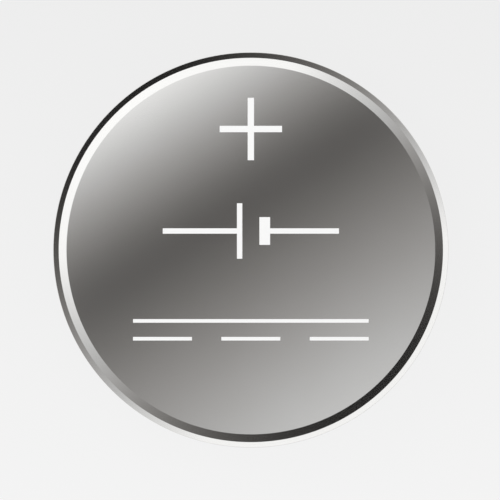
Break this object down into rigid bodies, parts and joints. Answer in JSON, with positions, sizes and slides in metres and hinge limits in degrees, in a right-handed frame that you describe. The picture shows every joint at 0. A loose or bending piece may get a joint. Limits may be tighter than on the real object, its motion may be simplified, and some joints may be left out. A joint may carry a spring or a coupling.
{
  "type": "lithium coin cell",
  "caption": "Round flat lithium cell: crimped steel can with its positive face up, stepped negative cap in a moulded seal, and electrodes, separator and collector ring inside.",
  "frame": {"origin": "centre of the negative contact face, on the cell's axis", "axes": "+Z along the axis from the negative face to the positive face, +Y towards the top of the picture, +X to its right"},
  "size_m": [0.02, 0.02, 0.0032],
  "materials": {
    "positive_can": "satin nickel-plated stainless steel with polished bevels",
    "sealing_gasket": "milky natural polypropylene",
    "negative_cap": "satin stainless steel",
    "lithium_disc": "soft rolled metal foil",
    "separator": "white non-woven fleece",
    "cathode_pellet": "black pressed powder",
    "collector_ring": "bright stainless steel"
  },
  "bodies": {
    "root": {"positive_can": "positive_can", "sealing_gasket": "sealing_gasket", "negative_cap": "negative_cap", "lithium_disc": "lithium_disc", "separator": "separator", "cathode_pellet": "cathode_pellet", "collector_ring": "collector_ring"}
  },
  "joints": []
}
